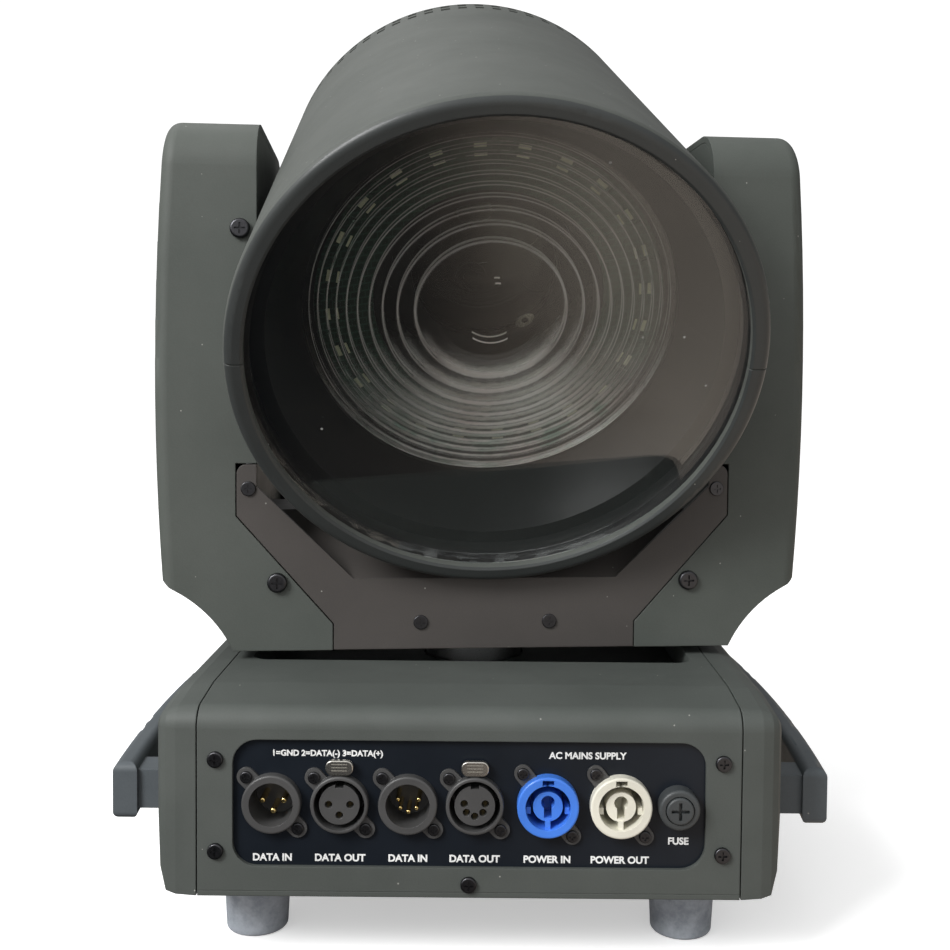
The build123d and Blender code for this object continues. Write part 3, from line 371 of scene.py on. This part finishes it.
MOTOR = bare_metal("motor_steel", (0.16, 0.16, 0.17), 0.3, 0.5)
GOLD = bare_metal("gold_contact", (0.95, 0.72, 0.3), 0.12, 0.25, (1, 1, 1), 0.0008)
GLASS = glass("front_glass_clear", (0.96, 0.97, 0.965), 1.5)
CONDENSER = glass("condenser_glass_clear", (0.9, 0.92, 0.92), 1.4, 0.02, 0)
LENS = stepped_glass("stepped_lens_glass")
FOOT = rubber("foot_rubber_grey", (0.26, 0.29, 0.33), (0.48, 0.52, 0.57))
BELT = rubber("belt_rubber_black", (0.014, 0.014, 0.014), (0.035, 0.035, 0.035))
BOARD = circuit_board()

SCREEN = screen()
PRINT = plain_plastic("white_print", (0.82, 0.83, 0.82), 0.45, 0.6)
LED = plain_plastic("led_phosphor", (0.85, 0.84, 0.62), 0.25, 0.4)


FINISH = {
    CASING: ["base_top_cover", "base_tray", "left_end_cap", "right_end_cap"],
    ARM: ["left_arm_shell", "right_arm_shell", "left_arm_inner_cover", "right_arm_inner_cover"],
    HEAD_CASING: ["head_upper_shell", "head_lower_shell", "rear_cap"],
    PANEL: ["yoke_front_panel", "yoke_rear_panel"],
    HANDLE: ["left_handle", "right_handle"],
    PLATE: ["connector_plate", "display_bezel"],
    BLACK_METAL: ["data_inlets", "data_outlets"],
    BLUE: ["power_inlet"],
    CREAM: ["power_outlet"],
    FUSE: ["fuse_holder", "fuse_cap"],
    BLACK: ["fan_frame", "fan_rotor", "glass_seal"],
    BARREL: ["lens_barrel"],
    BUTTON: [f"menu_button_{number}" for number in range(1, 5)],
    SCREW: ["connector_screws", "base_screws", "yoke_screws", "head_screws"],
    STEEL: ["release_tab_3pin", "release_tab_5pin", "yoke_bearings"],
    ALUMINIUM: ["pan_pulley", "pan_motor_pulley", "tilt_motor_pulley", "tilt_pulley", "yoke_frame",
                "lamp_module", "power_supply"],
    DARK_METAL: ["head_chassis", "focus_carriage", "gobo_wheel"],
    MOTOR: ["pan_motor", "tilt_motor"],
    GOLD: ["connector_contacts"],
    GLASS: ["front_glass"],
    CONDENSER: ["focus_lens"],
    LENS: ["fresnel_lens"],
    FOOT: ["rubber_feet"],
    BELT: ["pan_belt", "tilt_belt"],
    BOARD: ["main_board", "ring_board"],
    SCREEN: ["display_window"],
}


def finish_cad_nodes():
    for material, names in FINISH.items():
        for name in names:
            mesh = nodes[name].data
            mesh.materials.clear()
            mesh.materials.append(material)
            mesh.shade_smooth()
    for name in ("front_glass", "fresnel_lens", "focus_lens"):
        nodes[name].visible_shadow = False


def paint_faces(name, material, chosen):
    """Gives the faces of a CAD node whose centre and normal are chosen another material."""
    mesh = nodes[name].data
    mesh.materials.append(material)
    index = len(mesh.materials) - 1
    for face in mesh.polygons:
        if chosen(face.center / MM, face.normal):
            face.material_index = index


def paint_details():
    """The power connectors' screw ears are black, unlike their rings, and so is the head's front rim."""
    for name in ("power_inlet", "power_outlet"):
        centre = centre_mm(name)
        paint_faces(name, BLACK_METAL, lambda c, n, o=centre: math.hypot(c.x - o.x, c.z - o.z) > EAR_REACH)
    forward = -(HEAD.to_3x3() @ Vector((0, 1, 0)))
    to_head = HEAD.inverted()

    def on_rim(centre, normal):
        return normal.dot(forward) > RIM_FACING and (to_head @ (centre * MM)).y < -RIM_FRONT

    for name in ("head_upper_shell", "head_lower_shell"):
        paint_faces(name, BEZEL, on_rim)


# ---- Mesh helpers ----
def piece(name, mesh, material, body, place=None):
    made = bpy.data.objects.new(name, mesh)
    bpy.context.scene.collection.objects.link(made)
    if place is not None:
        mesh.transform(place)
    if material is not None:
        mesh.materials.append(material)
    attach(made, body)
    return made


def bevelled(made, width, segments=2):
    bevel = made.modifiers.new("edges", "BEVEL")
    bevel.width = width
    bevel.segments = segments
    bevel.limit_method = "ANGLE"
    return made


def lettering(name, text, x, y, z, height, bold):
    """Raised print on the connector panel, centred at x, z, in millimetres. It faces -Y."""
    curve = bpy.data.curves.new(name, "FONT")
    curve.body = text
    curve.size = height / CAPITAL_SHARE * MM
    curve.offset = bold * MM
    curve.extrude = PRINT_RISE * MM
    curve.align_x = "CENTER"
    curve.align_y = "CENTER"
    curve.resolution_u = 4
    text_object = bpy.data.objects.new(name + "_curve", curve)
    bpy.context.scene.collection.objects.link(text_object)
    bpy.context.view_layer.update()
    graph = bpy.context.evaluated_depsgraph_get()
    mesh = bpy.data.meshes.new_from_object(text_object.evaluated_get(graph))
    bpy.data.objects.remove(text_object)
    mesh.materials.clear()
    turn = Matrix.Rotation(math.radians(90), 4, "X")
    place = Matrix.Translation((x * MM, y * MM, z * MM)) @ turn
    return piece(name, mesh, PRINT, "base", place)


# ---- Inside the head ----
def head_plates(name, boxes, material, body):
    """One mesh of thin plates across the light axis: x, z, half width, half height, turn, front of each."""
    work = bmesh.new()
    for x, z, half_x, half_z, turn, front in boxes:
        c, s = math.cos(turn), math.sin(turn)
        loops = []
        for depth in (0.0, 0.3):
            ring = []
            for a, b in ((-half_x, -half_z), (half_x, -half_z), (half_x, half_z), (-half_x, half_z)):
                place = Vector((x + a * c - b * s, front + depth, z + a * s + b * c))
                ring.append(work.verts.new(HEAD @ (place * MM)))
            loops.append(ring)
        work.faces.new(loops[0])
        work.faces.new(loops[1][::-1])
        for i in range(4):
            work.faces.new((loops[0][i], loops[1][i], loops[1][(i + 1) % 4], loops[0][(i + 1) % 4]))
    bmesh.ops.recalc_face_normals(work, faces=work.faces)
    mesh = bpy.data.meshes.new(name)
    work.to_mesh(mesh)
    work.free()
    return piece(name, mesh, material, body)


def ring_lamps():
    front = min((HEAD.inverted() @ v.co).y for v in nodes["ring_board"].data.vertices) / MM - 0.35
    boxes = []
    for number in range(24):
        angle = math.radians(15 * number + 6)
        for radius, half in ((69.6, 0.85), (65.6, 0.5)):
            boxes.append((radius * math.cos(angle), radius * math.sin(angle), 2.6, half,
                          angle + math.pi / 2, front))
    head_plates("ring_lamp_windows", boxes, LED, "head")


def lens_clip():
    """The bright oval washer that holds the inner lens, on the front of its carriage."""
    front = min((HEAD.inverted() @ v.co).y for v in nodes["focus_carriage"].data.vertices) / MM - 1.0
    work = bmesh.new()
    loops = []
    steps = 40
    for depth, grow in ((0.0, 0.0), (0.0, 1.0), (1.0, 1.0), (1.0, 0.0)):
        ring = []
        for step in range(steps):
            angle = 2 * math.pi * step / steps
            a = (1.5 + grow * 3.3) * math.cos(angle)
            b = (1.5 + grow * 1.3) * math.sin(angle)
            turn = math.radians(33)
            x = CLIP_PLACE[0] + a * math.cos(turn) - b * math.sin(turn)
            z = CLIP_PLACE[1] + a * math.sin(turn) + b * math.cos(turn)
            ring.append(work.verts.new(HEAD @ (Vector((x, front + depth, z)) * MM)))
        loops.append(ring)
    for first, second in zip(loops, loops[1:] + loops[:1]):
        for i in range(steps):
            j = (i + 1) % steps
            work.faces.new((first[i], first[j], second[j], second[i]))
    bmesh.ops.recalc_face_normals(work, faces=work.faces)
    mesh = bpy.data.meshes.new("lens_clip")
    work.to_mesh(mesh)
    work.free()
    bevelled(piece("lens_clip", mesh, STEEL, "focus_carriage"), 0.25 * MM)


# ---- Front panel print, in millimetres ----
DATA_REACH = 13.5       # from a data connector's outer edge to its centre
LABEL_DROP = 21.8       # from the connectors' line down to the labels
FUSE_LABEL_DROP = 14.2


def centre_mm(*names):
    low = Vector((1e9,) * 3)
    high = Vector((-1e9,) * 3)
    for name in names:
        a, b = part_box(name)
        low = Vector(map(min, low, a))
        high = Vector(map(max, high, b))
    return (low + high) / 2 / MM


def front_print():
    """Plain labels under each connector, and one line over the data and one over the mains connectors."""
    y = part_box("connector_plate")[0].y / MM - PRINT_RISE
    z = centre_mm("power_inlet").z
    inlets_low, inlets_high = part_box("data_inlets")
    outlets_low, outlets_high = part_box("data_outlets")
    data_out_3pin = outlets_low.x / MM + DATA_REACH
    power_in = centre_mm("power_inlet").x
    columns = {
        "data_in_3pin": ("DATA IN", inlets_low.x / MM + DATA_REACH),
        "data_out_3pin": ("DATA OUT", data_out_3pin),
        "data_in_5pin": ("DATA IN", inlets_high.x / MM - DATA_REACH),
        "data_out_5pin": ("DATA OUT", outlets_high.x / MM - DATA_REACH),
        "power_in": ("POWER IN", power_in),
        "power_out": ("POWER OUT", centre_mm("power_outlet").x),
    }
    for name, (text, x) in columns.items():
        lettering("print_" + name, text, x, y, z - LABEL_DROP, 2.75, 0.15)
    lettering("print_fuse", "FUSE", centre_mm("fuse_cap").x + 0.4, y, z - FUSE_LABEL_DROP, 2.7, 0.14)
    lettering("print_pins", "1=GND 2=DATA(-) 3=DATA(+)", data_out_3pin - 4.9, y, z + 18.9, 2.25, 0.12)
    lettering("print_mains", "AC MAINS SUPPLY", power_in + 15.2, y, z + 18.7, 2.6, 0.13)


# ---- Stage, light and camera ----
def area_light(name, place, target, size, power):
    data = bpy.data.lights.new(name, "AREA")
    data.shape = "RECTANGLE"
    data.size, data.size_y = size
    data.energy = power
    light = bpy.data.objects.new(name, data)
    light.location = place
    light.rotation_euler = (Vector(target) - Vector(place)).to_track_quat("-Z", "Y").to_euler()
    bpy.context.scene.collection.objects.link(light)


def seen_by_camera(tree, for_camera, for_light):
    """Mixes two shaders so that the camera sees one and the light on the object comes from the other."""
    path = tree.nodes.new("ShaderNodeLightPath")
    mixed = tree.nodes.new("ShaderNodeMixShader")
    tree.links.new(path.outputs["Is Camera Ray"], mixed.inputs[0])
    tree.links.new(for_light, mixed.inputs[1])
    tree.links.new(for_camera, mixed.inputs[2])
    return mixed.outputs["Shader"]


def make_floor():
    """A pale floor. It lights the object as a dimmer one, and mirrors show a painted reflection on it: a dark
    to warm gradient.
    """
    half = 6.0
    mesh = bpy.data.meshes.new("floor")
    corners = [(-half, -half, 0), (half, -half, 0), (half, half, 0), (-half, half, 0)]
    mesh.from_pydata(corners, [], [(0, 1, 2, 3)])
    floor = bpy.data.objects.new("floor", mesh)
    bpy.context.scene.collection.objects.link(floor)
    m = Material("floor_white").set(roughness=0.9, specular_ior_level=0.0, emission_strength=0.45)
    m.color(m.ramp(m.noise(0.4), [(0.3, 0.9), (0.7, 0.92)]))
    m.shader.inputs["Emission Color"].default_value = (1, 1, 1, 1)
    dim = m.node("BsdfDiffuse")
    bounce = m.ramp(m.noise(0.5, 4.0), [(0.35, (0.2, 0.18, 0.17)), (0.65, (0.34, 0.3, 0.28))])
    m.link(bounce, dim.inputs["Color"])
    # Painted reflection: glossy rays see a dark to warm gradient across the floor, not the pale floor.
    mirrored = m.node("Emission", Strength=1.0)
    along = m.node("SeparateXYZ")
    m.link(m.coordinates, along.inputs["Vector"])
    painted_reflection_streaks = m.math("MULTIPLY", m.math("SUBTRACT", m.noise(0.05, 3.0, 0.6, (0.3, 3.0, 1.0)), 0.5), 0.05)
    across_floor = m.math("ADD", m.math("ADD", along.outputs["X"], painted_reflection_streaks), 0.5)
    painted_reflection_gradient = m.ramp(across_floor, [(0.4, (0.03, 0.033, 0.036)), (0.5, (0.1, 0.09, 0.085)),
                                      (0.57, (0.42, 0.35, 0.3)), (0.66, (0.85, 0.74, 0.64))])
    m.link(painted_reflection_gradient, mirrored.inputs["Color"])
    path = m.node("LightPath")
    unseen = m.node("MixShader")
    m.link(path.outputs["Is Glossy Ray"], unseen.inputs[0])
    m.link(dim.outputs["BSDF"], unseen.inputs[1])
    m.link(mirrored.outputs["Emission"], unseen.inputs[2])
    shown = seen_by_camera(m.tree, m.shader.outputs["BSDF"], unseen.outputs["Shader"])
    m.link(shown, m.output.inputs["Surface"])
    mesh.materials.append(m.material)


def make_room():
    """A room that looks white and lights softly from above and the left, darker low down and on the right."""
    world = bpy.data.worlds.new("white_room")
    bpy.context.scene.world = world
    world.use_nodes = True
    tree = world.node_tree
    white = tree.nodes["Background"]
    white.inputs["Color"].default_value = (1, 1, 1, 1)
    white.inputs["Strength"].default_value = 1.1
    direction = tree.nodes.new("ShaderNodeTexCoord").outputs["Generated"]
    gradient = None
    for light in (((-0.45, 0.3, 0.82), 0.34), ((-0.5, -0.8, 0.2), 0.8), ((0.3, -0.6, 0.5), 0.3)):
        toward, strength = light
        along = tree.nodes.new("ShaderNodeVectorMath")
        along.operation = "DOT_PRODUCT"
        along.inputs[1].default_value = toward
        tree.links.new(direction, along.inputs[0])
        soft = tree.nodes.new("ShaderNodeMapRange")
        soft.interpolation_type = "SMOOTHSTEP"
        soft.inputs["From Min"].default_value = -0.3
        soft.inputs["From Max"].default_value = 1.0
        soft.inputs["To Min"].default_value = 0.0
        soft.inputs["To Max"].default_value = strength
        tree.links.new(along.outputs["Value"], soft.inputs["Value"])
        if gradient is None:
            gradient = soft.outputs["Result"]
        else:
            total = tree.nodes.new("ShaderNodeMath")
            total.operation = "ADD"
            tree.links.new(gradient, total.inputs[0])
            tree.links.new(soft.outputs["Result"], total.inputs[1])
            gradient = total.outputs["Value"]
    total = tree.nodes.new("ShaderNodeMath")
    total.operation = "ADD"
    total.inputs[1].default_value = 0.2
    tree.links.new(gradient, total.inputs[0])
    lit = tree.nodes.new("ShaderNodeBackground")
    tree.links.new(total.outputs["Value"], lit.inputs["Strength"])
    shown = seen_by_camera(tree, white.outputs["Background"], lit.outputs["Background"])
    tree.links.new(shown, tree.nodes["World Output"].inputs["Surface"])


def make_stage():
    make_floor()
    make_room()
    area_light("key", (-1.1, -1.1, 1.2), (0, 0, 0.2), (0.7, 0.7), 34)
    area_light("top", (-0.5, 0.5, 1.6), (0, 0, 0.3), (0.8, 0.8), 3)


def make_camera():
    data = bpy.data.cameras.new("camera")
    data.sensor_width = 36.0
    data.lens = 45.5
    data.shift_x = -0.0105
    data.shift_y = -0.056
    data.clip_start = 0.01
    camera = bpy.data.objects.new("camera", data)
    pitch = math.radians(-2.5)
    roll = math.radians(0.5)
    turn = Matrix.Rotation(math.radians(90) + pitch, 4, "X") @ Matrix.Rotation(roll, 4, "Z")
    camera.matrix_world = Matrix.Translation((0.0048, pan_axis.y - 0.592, 0.2315)) @ turn
    bpy.context.scene.collection.objects.link(camera)
    bpy.context.scene.camera = camera
    bpy.context.scene.view_settings.view_transform = "Standard"


make_camera()
make_stage()
finish_cad_nodes()
paint_details()
ring_lamps()
lens_clip()
front_print()
